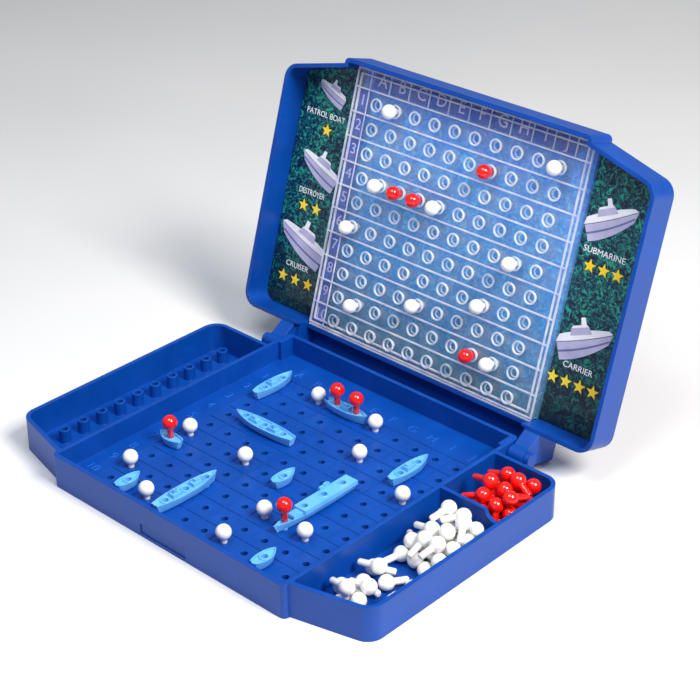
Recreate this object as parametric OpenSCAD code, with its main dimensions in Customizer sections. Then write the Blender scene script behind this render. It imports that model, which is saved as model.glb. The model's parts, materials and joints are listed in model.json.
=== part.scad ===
// Travel case for a ship-guessing peg game: a hinged plastic case, open for play.
// The tray holds the player's own sea grid with plug-in ships and pegs, and bins of spare
// pegs. The lid holds a printed card and a clear peg panel that records the player's shots.
// Millimetres. X runs along the hinge, Y from the player to the hinge, Z up.
// The origin is on the table, under the centre of the whole open case.

/* [Case] */
// Width of the case across both side bins
case_w = 215; // [205:1:230]
// Depth of the case from the front box to the hinge side
case_d = 150; // [149:1:154]
// Width of the middle part that holds the sea grid
mid_w = 143; // [142:1:146]
// Height of the tray from the table to its rim
base_h = 16.5; // [16:0.5:18]
// Height of the lid from its rim to its outer face
lid_h = 16; // [15.5:0.5:16]
// Wall thickness of the tray and the lid
wall = 2; // [1.6:0.1:2.4]

/* [Grid] */
// Distance from one hole to the next
pitch = 12; // [11.8:0.1:12]
// Depth of the sea below the rim
sea_depth = 10.2; // [9.8:0.1:10.6]
// Diameter of a peg hole
hole_d = 3.1; // [3.1:0.05:3.3]

/* [Pegs and ships] */
// Diameter of a peg's ball head
head_d = 7; // [6.4:0.1:7]
// Diameter of a peg's stem
stem_d = 3; // [2.8:0.1:3]
// Distance from the head's centre to the tip of the stem
peg_reach = 9.6; // [9.2:0.1:9.8]
// Height of a ship's deck above the sea
deck_h = 5; // [4.6:0.1:5.2]

/* [Hinge] */
// Angle that the lid leans back from closed
open_angle = 106.4; // [95:0.1:106.4]
// Diameter of each hinge pin
pin_d = 5; // [4:0.1:5]

/* [Hidden] */
// Each ship: name, cells, middle hole [column, row], heading in degrees from +X.
// Columns count from the left, rows from the hinge. A ship of even length has a half hole.
SHIPS = [
    ["carrier", 4, [8, 6.5], -90],
    ["cruiser_left", 3, [3, 4], 180],
    ["cruiser_front", 3, [4, 9], 90],
    ["destroyer_left", 2, [1, 1.5], 90],
    ["destroyer_back", 2, [4.5, 1], 0],
    ["destroyer_right", 2, [9, 2.5], 90],
    ["boat_left", 1, [1, 7], 180],
    ["boat_front_left", 1, [2, 10], 90],
    ["boat_middle", 1, [6, 6], 90],
    ["boat_front_right", 1, [9, 10], 90]
];
// Pegs in the tray: a red one marks a hit and stands on a ship, a white one stands in the sea
SEA_PEGS = [
    ["sea_peg_red_1", [1, 7], true],
    ["sea_peg_red_2", [4, 1], true],
    ["sea_peg_red_3", [5, 1], true],
    ["sea_peg_red_4", [8, 8], true],
    ["sea_peg_white_1", [1, 9], false],
    ["sea_peg_white_2", [3, 10], false],
    ["sea_peg_white_3", [7, 10], false],
    ["sea_peg_white_4", [1, 6], false],
    ["sea_peg_white_5", [4, 6], false],
    ["sea_peg_white_6", [7, 8], false],
    ["sea_peg_white_7", [9, 8], false],
    ["sea_peg_white_8", [7, 3], false],
    ["sea_peg_white_9", [10, 4], false],
    ["sea_peg_white_10", [3, 1], false],
    ["sea_peg_white_11", [6, 1], false]
];
// Pegs in the clear panel, whose row 10 is next to the hinge: true for a red one
PANEL_PEGS = [
    ["panel_peg_red_1", [7, 2], true],
    ["panel_peg_red_2", [3, 4], true],
    ["panel_peg_red_3", [4, 4], true],
    ["panel_peg_red_4", [8, 9], true],
    ["panel_peg_white_1", [2, 1], false],
    ["panel_peg_white_2", [10, 1], false],
    ["panel_peg_white_3", [2, 4], false],
    ["panel_peg_white_4", [5, 4], false],
    ["panel_peg_white_5", [9, 5], false],
    ["panel_peg_white_6", [1, 6], false],
    ["panel_peg_white_7", [8, 7], false],
    ["panel_peg_white_8", [5, 8], false],
    ["panel_peg_white_9", [2, 9], false],
    ["panel_peg_white_10", [9, 9], false]
];
$fn = 48;
eps = 0.01;

// Colours of the plastics and the card
case_blue = [0.05, 0.27, 0.78];
ship_blue = [0.45, 0.72, 0.93];
peg_red = [0.9, 0.1, 0.06];
peg_white = [0.95, 0.95, 0.93];
clear_tint = [0.75, 0.87, 0.95, 0.4];
card_green = [0.06, 0.3, 0.3];

// Outline of the case
half_w = case_w / 2;
half_d = case_d / 2;
half_mid = mid_w / 2;
wing_front_in = -half_d + 3;      // where a side bin's front meets the middle part
wing_front_out = -half_d + 12;    // where it meets the outer side
wing_rear = half_d - 15.6;        // the middle part reaches past the bins at the hinge
wing_round = 8;
mid_round = 2.5;
bin_floor = 2;

// The sea and its holes
grid_x = 3.6;                     // the number column pushes the grid off centre
grid_y = -6;
sea_z = base_h - sea_depth;
sea_t = 2;
line_w = 0.5;
line_h = 0.3;
hole_r = hole_d / 2;
head_r = head_d / 2;
stem_r = stem_d / 2;

// Posts in the left bin and the divider in the right one
post_x = -94;
post_pitch = 11.1;
post_top = 8.5;
divider_y = 20.4;
divider_t = 2;
dip_r = 7;

// Hinge and lid, drawn closed and then opened
hinge_y = half_d - 5.2;
hinge_z = base_h - 5.3;
lug_x = 72;                       // inner face of each lid lug
lug_w = 8;
lug_r = 4.2;
pin_r = pin_d / 2;
pin_gap = 0.05;                   // running clearance of a pin in the tray
boss_t = 2;                       // extra wall where a pin enters the tray
rim_gap = 0.3;
lid_z = base_h + rim_gap;
lid_top = lid_z + lid_h;
lid_t = 1.6;
rear_gap = 2.4;                   // lets the lid's rear wall swing past the tray
card_t = 0.5;
card_z = lid_top - lid_t - card_t;
// The modules below are drawn about the middle of the closed case. From there the open
// lid's outer edge is back_y behind, so the middle of the open case is middle_y behind.
back_y = hinge_y - (half_d + hinge_y) * cos(open_angle)
    + (lid_top - hinge_z) * sin(open_angle);
middle_y = (back_y - half_d) / 2;

// Clear panel
ring_z = lid_z + 7.6;             // front of the socket rings, below the lid's rim
ring_h = 0.8;
plate_t = 1.2;
tube_h = 3.6;
panel_half_w = 69;
panel_front = -half_d + 3.5;
panel_rear = half_d - 17.8;
panel_row_10 = 52;
panel_wall = 1.2;
rib_y = half_d - 16.4;            // lid rib behind the panel's rear edge

// Where pegs and ships sit
sea_head = 5;                     // head's centre above the sea
deck_head = 12;                   // the same on a ship
panel_head = 4.6;                 // head's centre in front of a ring
ship_lift = 0.4;                  // hulls stand on the cell lines

// ---- helpers ----

function hole(at) = [grid_x + (at[0] - 5.5) * pitch, grid_y + (5.5 - at[1]) * pitch];
function panel_hole(at) = [(at[0] - 5.5) * pitch, panel_row_10 - (10 - at[1]) * pitch];

function unit(v) = v / norm(v);
// Centre of the arc of radius r in the corner b between a and c
function arc_centre(a, b, c, r) =
    let (u = unit(a - b), w = unit(c - b), h = unit(u + w))
    b + h * r / abs(u[0] * h[1] - u[1] * h[0]);
// Point of the line from p to q that lies nearest to m
function foot(p, q, m) = p + unit(q - p) * ((m - p) * unit(q - p));
function before(pts, i) = pts[(i + len(pts) - 1) % len(pts)];
function after(pts, i) = pts[(i + 1) % len(pts)];
// A convex outline moved inwards by d
function inset(pts, d) =
    [for (i = [0:len(pts) - 1]) arc_centre(before(pts, i), pts[i], after(pts, i), d)];

// A convex outline with true arcs: radii has one radius for each corner, 0 for a sharp one
module rounded(pts, radii) {
    mids = [for (i = [0:len(pts) - 1])
        radii[i] > 0 ? arc_centre(before(pts, i), pts[i], after(pts, i), radii[i]) : pts[i]];
    polygon([for (i = [0:len(pts) - 1])
        each radii[i] > 0
            ? [foot(before(pts, i), pts[i], mids[i]), foot(pts[i], after(pts, i), mids[i])]
            : [pts[i]]]);
    for (i = [0:len(pts) - 1])
        if (radii[i] > 0)
            translate(mids[i]) circle(radii[i]);
}

// Corners of one side bin, from its inner edge at x
function wing(x) =
    let (slope = (wing_front_out - wing_front_in) / (half_w - half_mid))
    [[x, wing_front_in + (x - half_mid) * slope], [half_w, wing_front_out],
     [half_w, wing_rear], [x, wing_rear]];
function middle(x, rear) = [[-x, -half_d], [x, -half_d], [x, rear], [-x, rear]];

module both_sides() {
    children();
    mirror([1, 0, 0]) children();
}

module case_outline() {
    rounded(middle(half_mid, half_d), [mid_round, mid_round, mid_round, mid_round]);
    both_sides() rounded(wing(half_mid - wall), [0, wing_round, wing_round, 0]);
}

module opened() {
    translate([0, hinge_y, hinge_z]) rotate([-open_angle, 0, 0])
        translate([0, -hinge_y, -hinge_z]) children();
}

module placed() {
    translate([0, -middle_y, 0]) children();
}

// ---- tray ----

module sea_hollow() {
    r = mid_round - wall;
    translate([0, 0, sea_z]) linear_extrude(base_h)
        rounded(inset(middle(half_mid, half_d), wall), [r, r, r, r]);
}

module bin_hollow() {
    r = wing_round - wall;
    translate([0, 0, bin_floor]) linear_extrude(base_h)
        rounded(inset(wing(half_mid - wall), wall), [1, r, r, 1]);
}

module under_hollow() {
    r = mid_round - wall;
    translate([0, 0, -eps]) linear_extrude(sea_z - sea_t)
        rounded(inset(middle(half_mid, half_d), wall), [r, r, r, r]);
}

module cell_lines() {
    side = 10 * pitch + line_w;
    for (k = [0:10]) {
        d = (k - 5) * pitch;
        translate([grid_x + d - line_w / 2, grid_y - side / 2, sea_z - eps])
            cube([line_w, side, line_h + eps]);
        translate([grid_x - side / 2, grid_y + d - line_w / 2, sea_z - eps])
            cube([side, line_w, line_h + eps]);
    }
}

module sea_holes() {
    for (col = [1:10], row = [1:10])
        translate(concat(hole([col, row]), [-eps])) cylinder(h = base_h, r = hole_r);
}

module divider() {
    x = half_mid - eps;
    difference() {
        translate([x, divider_y, eps]) cube([half_w - x - wall / 2, divider_t, base_h - eps]);
        translate([half_w - wall - dip_r / 2, divider_y - eps, base_h + dip_r / 3])
            rotate([-90, 0, 0]) cylinder(h = divider_t + 2 * eps, r = dip_r);
    }
}

module posts() {
    for (k = [0:9])
        translate([post_x, (k - 4.5) * post_pitch, bin_floor - eps]) difference() {
            cylinder(h = post_top - bin_floor + eps, r = stem_r + 1.3);
            translate([0, 0, 1]) cylinder(h = post_top, r = hole_r);
        }
}

module hinge_bosses() {
    both_sides()
        translate([half_mid - wall - boss_t, hinge_y - 2 * pin_r, sea_z - eps])
            cube([boss_t + eps, half_d - wall - hinge_y + 2 * pin_r + eps, base_h - sea_z]);
}

module hinge_bores() {
    depth = wall + boss_t - 0.8;
    both_sides()
        translate([half_mid - depth, hinge_y, hinge_z]) rotate([0, 90, 0])
            cylinder(h = depth + 1, r = pin_r + pin_gap);
}

module thumb_recess() {
    w = 28;
    translate([-w / 2, -half_d - eps, 1.6]) cube([w, 0.5 + eps, 5]);
}

module base_tray() {
    color(case_blue) {
        difference() {
            union() {
                difference() {
                    linear_extrude(base_h) case_outline();
                    sea_hollow();
                    under_hollow();
                    both_sides() bin_hollow();
                }
                hinge_bosses();
                cell_lines();
            }
            sea_holes();
            hinge_bores();
            thumb_recess();
        }
        divider();
        posts();
    }
}

// ---- lid, drawn closed ----

module lid_outline() {
    case_outline();
    x = lug_x + lug_w;
    rounded([[-x, wing_rear - 10], [x, wing_rear - 10], [x, half_d], [-x, half_d]],
            [0, 0, mid_round, mid_round]);
}

module lid_hollow() {
    r = wing_round - wall;
    translate([0, 0, lid_z - eps]) linear_extrude(lid_h - lid_t + eps) {
        rounded(inset(middle(half_mid, half_d), wall), [1, 1, 1, 1]);
        both_sides() rounded(inset(wing(half_mid - 10), wall), [0, r, r, 0]);
    }
}

// Profile of a hinge lug in the YZ plane: it hangs from the lid's rim to the pin
module lug_profile() {
    polygon([[wing_rear, lid_z + 1], [wing_rear, lid_z], [hinge_y - lug_r, hinge_z],
             [hinge_y + lug_r, hinge_z], [half_d, lid_z], [half_d, lid_z + 1]]);
    translate([hinge_y, hinge_z]) circle(lug_r);
}

module lug() {
    translate([lug_x, 0, 0]) rotate([90, 0, 90]) linear_extrude(lug_w) lug_profile();
}

module lid_closed() {
    difference() {
        union() {
            difference() {
                translate([0, 0, lid_z]) linear_extrude(lid_h) lid_outline();
                lid_hollow();
            }
            both_sides() lug();
        }
        translate([-lug_x, rib_y, lid_z - 1]) cube([2 * lug_x, half_d, rear_gap + 1]);
        both_sides() translate([lug_x - 1, hinge_y, hinge_z]) rotate([0, 90, 0])
            cylinder(h = lug_w + 2, r = pin_r);
    }
    translate([-half_mid + wall - eps, rib_y, ring_z])
        cube([2 * (half_mid - wall + eps), wall, lid_top - lid_t - ring_z + eps]);
}

module lid_shell() {
    color(case_blue) opened() lid_closed();
}

module game_card() {
    slack = 0.3;
    r = wing_round - wall - slack;
    edge = inset(middle(half_mid, rib_y + wall), wall + slack);
    color(card_green) opened() translate([0, 0, card_z]) linear_extrude(card_t) {
        rounded(edge, [1, 1, 1, 1]);
        both_sides() rounded(inset(wing(half_mid - 10), wall + slack), [0, r, r, 0]);
    }
}

// ---- clear panel ----

// Ridges run between the rows. Those between the columns only part the header's cells
module panel_ridges() {
    z = ring_z + ring_h - line_h;
    top = panel_row_10 - 9.5 * pitch;
    for (k = [0:10]) {
        translate([(k - 5) * pitch - line_w / 2, panel_front, z])
            cube([line_w, (k == 0 ? panel_rear : top) - panel_front, line_h + eps]);
        translate([-panel_half_w, top + k * pitch - line_w / 2, z])
            cube([2 * panel_half_w, line_w, line_h + eps]);
    }
}

module panel_rings() {
    for (col = [1:10], row = [1:10])
        translate(concat(panel_hole([col, row]), [ring_z])) {
            cylinder(h = ring_h + eps, r = head_r - 0.1);
            translate([0, 0, ring_h + plate_t - eps]) cylinder(h = tube_h, r = hole_r + 1);
        }
}

module panel_sockets() {
    for (col = [1:10], row = [1:10])
        translate(concat(panel_hole([col, row]), [ring_z - eps])) {
            cylinder(h = ring_h, r = head_r - 1.1);
            cylinder(h = 3 * tube_h, r = hole_r);
        }
}

module panel_tabs() {
    translate([-38, -half_d + wall, ring_z + ring_h]) cube([76, 2, plate_t]);
    translate([-16, panel_rear - eps, ring_z + ring_h])
        cube([22, rib_y - panel_rear + eps, plate_t]);
}

module panel_frame() {
    d = panel_rear - panel_front;
    inner = [2 * (panel_half_w - panel_wall), d - 2 * panel_wall, card_z];
    corner = [-panel_half_w + panel_wall, panel_front + panel_wall];
    difference() {
        union() {
            translate([-panel_half_w, panel_front, ring_z + line_h])
                cube([2 * panel_half_w, d, card_z - ring_z - line_h]);
            panel_tabs();
        }
        translate(concat(corner, [ring_z + ring_h + plate_t])) cube(inner);
        translate(concat(corner, [ring_z + ring_h - card_z])) cube(inner);
    }
}

module clear_panel() {
    color(clear_tint) opened() difference() {
        union() {
            panel_frame();
            panel_ridges();
            panel_rings();
        }
        panel_sockets();
    }
}

// ---- hinge pins, pressed into the lid's lugs and turning in the tray ----

module hinge_pin() {
    head = 3;
    tip = half_mid - wall - boss_t + 1.2;
    translate([0, hinge_y, hinge_z]) rotate([0, 90, 0]) {
        translate([0, 0, tip]) cylinder(h = lug_x + lug_w - tip, r = pin_r);
        translate([0, 0, lug_x + lug_w]) cylinder(h = head, r = pin_r + 0.8);
    }
}

module hinge_pin_left() {
    color(case_blue) opened() mirror([1, 0, 0]) hinge_pin();
}

module hinge_pin_right() {
    color(case_blue) opened() hinge_pin();
}

// ---- ships ----

// Half the beam at station t, from -1 at the stern to 1 at the bow
function half_beam(t, square) =
    t > 0 ? 1 - pow(t, 2.2) : square + (1 - square) * (1 - pow(-t, 2.4));
function deck_line(l, b, square) =
    let (n = 10, side = [for (k = [-n:n]) [k / n * l / 2, half_beam(k / n, square) * b / 2]])
    concat([for (p = side) [p[0], -max(p[1], 0.15)]],
           [for (k = [2 * n:-1:0]) [side[k][0], max(side[k][1], 0.15)]]);

module ship_hull(l, b, square, h) {
    difference() {
        hull() {
            linear_extrude(0.2) polygon(deck_line(l - 2.4, b * 0.7, square));
            translate([0, 0, h - 1]) linear_extrude(1) polygon(deck_line(l, b, square));
        }
        translate([0, 0, h - 0.4]) linear_extrude(1)
            polygon(deck_line(l - 2, b - 1.4, square * 0.8));
    }
}

module cabin(x, l, w) {
    translate([x - l / 2, -w / 2, deck_h - 0.5]) cube([l, w, 2]);
    translate([x - 0.2 * l, 0, deck_h + 1.4]) cylinder(h = 1.6, r = 0.9);
}

module boat() {
    ship_hull(13.4, 6, 0.45, deck_h);
}

module destroyer() {
    ship_hull(25.4, 6.8, 0.25, deck_h);
    cabin(0, 6, 2.8);
}

module cruiser() {
    ship_hull(36.6, 7.2, 0.3, deck_h);
    cabin(-6, 5, 3.2);
    cabin(6, 5, 3.2);
}

module carrier() {
    stern = -24.6;
    ship_hull(49, 7, 0.75, deck_h - 1);
    translate([stern + 0.3, -3.7, deck_h - 1.4]) linear_extrude(1.6)
        polygon([[0, 0.4], [33, 0.4], [37.5, 1.6], [37.5, 5.8], [33, 7], [0, 7]]);
    translate([-10, -3.6, deck_h + 0.2 - eps]) cube([7.4, 1.7, 2.2]);
    translate([-7.4, -2.75, deck_h + 2.3]) cylinder(h = 1, r = 0.8);
}

// One ship on its holes: it has a pin under each end cell and a peg hole over every cell
module ship(s) {
    n = s[1];
    stations = [for (k = [0:n - 1]) (k - (n - 1) / 2) * pitch];
    color(ship_blue)
        translate(concat(hole(s[2]), [sea_z + ship_lift])) rotate(s[3]) {
            difference() {
                union() {
                    if (n == 1) boat();
                    if (n == 2) destroyer();
                    if (n == 3) cruiser();
                    if (n == 4) carrier();
                }
                for (x = stations)
                    translate([x, 0, 1.6]) cylinder(h = 9, r = hole_r);
            }
            for (x = n == 1 ? [0] : [stations[0], stations[n - 1]])
                translate([x, 0, -4]) cylinder(h = 4 + eps, r = stem_r - 0.05);
        }
}

// ---- pegs ----

// A peg with its head's centre at the origin and its stem straight down
module peg() {
    sphere(head_r);
    translate([0, 0, -peg_reach + 0.6]) cylinder(h = peg_reach - 0.6, r = stem_r);
    translate([0, 0, -peg_reach]) cylinder(h = 0.6 + eps, r1 = stem_r - 0.4, r2 = stem_r);
}

module sea_peg(p) {
    z = sea_z + (p[2] ? deck_head : sea_head);
    color(p[2] ? peg_red : peg_white) translate(concat(hole(p[1]), [z])) peg();
}

module panel_peg(p) {
    color(p[2] ? peg_red : peg_white) opened()
        translate(concat(panel_hole(p[1]), [ring_z - panel_head])) mirror([0, 0, 1]) peg();
}

// Loose pegs lie in rows that face each other, stems between heads, in one or two layers
module loose_pegs(x, y, rows, upper) {
    step_x = 13.6;
    step_y = head_r + stem_r + 0.4;
    tilt = 11.5;
    for (row = [0:rows - 1], k = [0:1]) {
        turned = row % 2 == 1;
        at = [x + k * step_x + (turned ? 6.1 : 0), y + row * step_y];
        translate(concat(at, [bin_floor + head_r + 0.05]))
            rotate([0, tilt - 90, turned ? 180 : 0]) peg();
    }
    for (row = upper)
        translate([x + 6.8, y + row * step_y, bin_floor + 2.5 * head_r])
            rotate([0, -90, row % 2 == 1 ? 180 : 0]) peg();
}

module loose_red_pegs() {
    color(peg_red) loose_pegs(80.5, 26.1, 6, [1, 2, 4]);
}

module loose_white_pegs() {
    color(peg_white) loose_pegs(80.5, -49, 12, [1, 3, 4, 6, 7, 9]);
}

// ---- what is drawn ----

placed() base_tray();
placed() lid_shell();
placed() game_card();
placed() clear_panel();
placed() hinge_pin_left();
placed() hinge_pin_right();
placed() loose_red_pegs();
placed() loose_white_pegs();
for (s = SHIPS) placed() ship(s);
for (p = SEA_PEGS) placed() sea_peg(p);
for (p = PANEL_PEGS) placed() panel_peg(p);
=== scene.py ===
# %% [markdown]
# The fleet guessing case
#
# This lesson dresses a travel case for a two-player guessing game. Each player has a hinged
# plastic case: the tray holds a sea of holes with small ships and ball-headed pegs, and the
# lid holds a clear panel where the player marks shots. All the shapes that carry load come
# from the CAD model, so this script only adds finishes, print, lettering and finer pieces.

# %% Load the frame
import json
import math

import bpy
import numpy as np
from mathutils import Matrix, Vector


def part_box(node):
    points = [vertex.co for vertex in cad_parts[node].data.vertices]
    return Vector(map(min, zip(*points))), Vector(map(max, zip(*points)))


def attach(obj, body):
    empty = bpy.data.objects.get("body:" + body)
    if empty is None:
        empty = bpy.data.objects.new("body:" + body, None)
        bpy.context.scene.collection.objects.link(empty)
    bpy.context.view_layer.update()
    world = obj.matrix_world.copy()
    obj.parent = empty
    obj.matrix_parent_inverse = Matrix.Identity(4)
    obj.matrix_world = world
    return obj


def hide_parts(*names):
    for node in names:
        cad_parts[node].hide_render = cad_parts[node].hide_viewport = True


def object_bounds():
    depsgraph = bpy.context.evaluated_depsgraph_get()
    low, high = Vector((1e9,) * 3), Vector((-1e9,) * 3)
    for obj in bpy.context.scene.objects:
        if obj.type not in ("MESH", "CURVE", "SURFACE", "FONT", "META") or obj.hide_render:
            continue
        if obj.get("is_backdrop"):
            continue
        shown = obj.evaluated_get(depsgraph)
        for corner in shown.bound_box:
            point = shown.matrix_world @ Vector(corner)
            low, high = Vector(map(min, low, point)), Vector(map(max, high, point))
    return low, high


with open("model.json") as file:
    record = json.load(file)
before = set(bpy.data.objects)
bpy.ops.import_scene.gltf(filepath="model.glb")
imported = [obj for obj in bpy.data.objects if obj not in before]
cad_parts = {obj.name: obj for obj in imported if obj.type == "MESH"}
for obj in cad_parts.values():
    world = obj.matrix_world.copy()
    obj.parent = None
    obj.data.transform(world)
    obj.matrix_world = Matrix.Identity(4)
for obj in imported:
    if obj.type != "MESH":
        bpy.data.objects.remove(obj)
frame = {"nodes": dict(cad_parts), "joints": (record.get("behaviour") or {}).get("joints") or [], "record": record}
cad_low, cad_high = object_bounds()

MM = 0.001
nodes = frame["nodes"]
record = frame["record"]
body_of = {n: body for body, names in record["behaviour"]["bodies"].items() for n in names}
slot_of = {part["node"]: part["material_slot"] for part in record["subparts"]}
print("CAD box in mm:", [round(v / MM, 1) for v in cad_high - cad_low])

# %% [markdown]
# Places come from the model, not from a ruler. Two pegs whose holes are known give the hole
# grid of the sea, and the hinge joint gives a set of axes for the open lid: X along the
# hinge, Y up the lid and Z out of it towards the player.

# %% Find the grid and the lid
def middle(node):
    low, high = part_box(node)
    return (low + high) / 2


HEAD_MM = 3.5
PEG_HEAD = HEAD_MM * MM
HEAD_ABOVE_SEA = 5 * MM
ROWS = 10
first_peg, last_peg = middle("sea_peg_white_1"), middle("sea_peg_white_9")
PITCH = (last_peg.x - first_peg.x) / (ROWS - 1)
SEA_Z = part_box("sea_peg_white_1")[1].z - HEAD_ABOVE_SEA - PEG_HEAD


def hole(column, row):
    """Where a hole of the sea is. The first peg stands in column 1, row 9."""
    return Vector((first_peg.x + (column - 1) * PITCH, first_peg.y + (9 - row) * PITCH, SEA_Z))


hinge = next(joint for joint in frame["joints"] if joint["name"] == "lid_hinge")
lean = math.radians(-hinge["range_deg"][0])
lid_up = Vector((0, -math.cos(lean), math.sin(lean)))
lid_out = Vector((0, -math.sin(lean), -math.cos(lean)))
lid_axes = Matrix((Vector((1, 0, 0)), lid_up, lid_out)).transposed().to_4x4()
LID = Matrix.Translation(hinge["pos_m"]) @ lid_axes
print("pitch", round(PITCH / MM, 2), "mm, sea at", round(SEA_Z / MM, 2), "mm")

# %% [markdown]
# Every finish below is a small network of shader nodes. One helper adds a node together with
# its settings and the links into it, so that each finish reads like a recipe. Colours are
# written as the hex values a designer would pick, and one function makes them linear.

# %% Helpers for finishes
def linear(hex_colour):
    """A linear RGBA colour from an sRGB hex value."""
    parts = [int(hex_colour[i : i + 2], 16) / 255 for i in (1, 3, 5)]
    parts = [c / 12.92 if c <= 0.04045 else ((c + 0.055) / 1.055) ** 2.4 for c in parts]
    return (*parts, 1.0)


def add_node(tree, kind, settings=None, links=None):
    """Adds one node, sets its sockets or properties, and links outputs into its sockets."""
    node = tree.nodes.new(kind)
    for name, value in (settings or {}).items():
        if isinstance(name, int) or name in node.inputs:
            node.inputs[name].default_value = value
        else:
            setattr(node, name, value)
    for name, output in (links or {}).items():
        tree.links.new(output, node.inputs[name])
    return node


def new_finish(name, **sockets):
    """A new material, its node tree and its main shader with these constant sockets."""
    material = bpy.data.materials.new(name)
    material.use_nodes = True
    shader = material.node_tree.nodes["Principled BSDF"]
    for socket, value in sockets.items():
        shader.inputs[socket.replace("_", " ")].default_value = value
    return material, material.node_tree, shader


def set_ramp(ramp, stops, interpolation="LINEAR"):
    """Gives a colour ramp these (position, hex colour) stops."""
    ramp.color_ramp.interpolation = interpolation
    elements = ramp.color_ramp.elements
    while len(elements) < len(stops):
        elements.new(0.5)
    for element, (position, colour) in zip(elements, stops):
        element.position = position
        element.color = linear(colour)


# %% [markdown]
# The case, the ships and the pegs are injection-moulded polystyrene. Moulding gives three
# things to the eye: a colour that drifts a little where the melt flowed, a fine satin grain
# copied from the steel mould, and a gloss that is not quite even. The flow marks are about
# 20 mm across. The real grain is a tenth of a millimetre and would not show, so it is drawn
# at 0.8 mm.

# %% Moulded polystyrene
def moulded_polystyrene(
    name, stops, roughness, grain_mm=0.8, grain_depth=0.02, round_mm=0, **sockets
):
    material, tree, shader = new_finish(name, IOR=1.59, **sockets)
    place = add_node(tree, "ShaderNodeTexCoord")
    flow = add_node(
        tree,
        "ShaderNodeTexNoise",
        {"Scale": 1 / (20 * MM), "Detail": 4.0, "Roughness": 0.6, "Distortion": 0.6},
        {"Vector": place.outputs["Object"]},
    )
    ramp = add_node(tree, "ShaderNodeValToRGB", links={"Fac": flow.outputs["Fac"]})
    set_ramp(ramp, stops)
    tree.links.new(ramp.outputs["Color"], shader.inputs["Base Color"])
    gloss = add_node(
        tree,
        "ShaderNodeMapRange",
        {"From Min": 0.3, "From Max": 0.7, "To Min": roughness - 0.05, "To Max": roughness + 0.06},
        {"Value": flow.outputs["Fac"]},
    )
    tree.links.new(gloss.outputs["Result"], shader.inputs["Roughness"])
    grain = add_node(
        tree,
        "ShaderNodeTexNoise",
        {"Scale": 1 / (grain_mm * MM), "Detail": 2.0},
        {"Vector": place.outputs["Object"]},
    )
    bump = add_node(
        tree,
        "ShaderNodeBump",
        {"Strength": 0.35, "Distance": grain_depth * MM},
        {"Height": grain.outputs["Fac"]},
    )
    if round_mm:
        edges = add_node(tree, "ShaderNodeBevel", {"samples": 6, "Radius": round_mm * MM})
        tree.links.new(edges.outputs["Normal"], bump.inputs["Normal"])
    tree.links.new(bump.outputs["Normal"], shader.inputs["Normal"])
    return material


CASE_BLUE = [(0.3, "#003f96"), (0.55, "#0244a0"), (0.75, "#044aaa")]
case_finish = moulded_polystyrene(
    "moulded_polystyrene_case_blue", CASE_BLUE, 0.38, round_mm=0.4, Specular_IOR_Level=0.28
)
# The raised figures are the case's own plastic; this lighter blue is painted highlight, not a colour of their own.
FIGURE_HIGHLIGHT_BLUE = [(0.35, "#0a54b8"), (0.7, "#1462c6")]
figure_highlight_finish = moulded_polystyrene("moulded_polystyrene_figure_painted_highlight", FIGURE_HIGHLIGHT_BLUE, 0.32)
SHIP_BLUE = [(0.3, "#5aacee"), (0.6, "#6ab8f4"), (0.8, "#7ac4f8")]
ship_finish = moulded_polystyrene(
    "moulded_polystyrene_ship_blue", SHIP_BLUE, 0.34, round_mm=0.25, Subsurface_Weight=0.12,
    Subsurface_Scale=0.8 * MM,
)
PEG_RED = [(0.3, "#e80e04"), (0.7, "#f8180a")]
red_finish = moulded_polystyrene(
    "moulded_polystyrene_red", PEG_RED, 0.16, grain_depth=0.006, Coat_Weight=0.4,
    Coat_Roughness=0.08,
)
PEG_WHITE = [(0.3, "#f1f1ee"), (0.7, "#faf9f5")]
white_finish = moulded_polystyrene(
    "moulded_polystyrene_white", PEG_WHITE, 0.22, grain_depth=0.008, Subsurface_Weight=0.15,
    Subsurface_Scale=1.0 * MM,
)
print("five moulded finishes")

# %% [markdown]
# The panel is clear polystyrene, polished in the mould. It is shown with a low alpha and a
# sharp gloss rather than as solid glass, because a thin ribbed sheet in front of print mostly
# veils it and glints. Its edges gather light, so they get a denser, whiter version of the
# same plastic. A faint ripple from the moulding breaks up the reflections.

# %% Clear polystyrene
def clear_polystyrene(name, colour, alpha, roughness):
    material, tree, shader = new_finish(name, IOR=1.59, Alpha=alpha)
    place = add_node(tree, "ShaderNodeTexCoord")
    ripple = add_node(
        tree,
        "ShaderNodeTexNoise",
        {"Scale": 1 / (7 * MM), "Detail": 2.0, "Distortion": 0.4},
        {"Vector": place.outputs["Object"]},
    )
    tint = add_node(tree, "ShaderNodeValToRGB", links={"Fac": ripple.outputs["Fac"]})
    set_ramp(tint, [(0.3, colour), (0.7, "#ffffff")])
    tree.links.new(tint.outputs["Color"], shader.inputs["Base Color"])
    gloss = add_node(
        tree,
        "ShaderNodeMapRange",
        {"To Min": roughness, "To Max": roughness + 0.06},
        {"Value": ripple.outputs["Fac"]},
    )
    tree.links.new(gloss.outputs["Result"], shader.inputs["Roughness"])
    bump = add_node(
        tree,
        "ShaderNodeBump",
        {"Strength": 0.4, "Distance": 0.15 * MM},
        {"Height": ripple.outputs["Fac"]},
    )
    tree.links.new(bump.outputs["Normal"], shader.inputs["Normal"])
    return material


panel_finish = clear_polystyrene("clear_polystyrene_sheet", "#9fd0ff", 0.075, 0.04)
edge_finish = clear_polystyrene("clear_polystyrene_edge", "#d3d8ff", 0.55, 0.08)
ring_finish = clear_polystyrene("clear_polystyrene_ring", "#cfe4ff", 0.5, 0.06)
print("three clear finishes")

# %% [markdown]
# The card is printed board under a thin varnish. Its two side zones carry a dark sea in
# ragged flecks of navy, black and green, and the part behind the panel is a bright sea that
# runs from blue at the top to teal at the bottom. Both are worked out in the lid's own axes,
# so that they stay with the card when the lid moves. A dot product with an axis of the lid
# turns a place on the card into its distance from the hinge along that axis.

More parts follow.
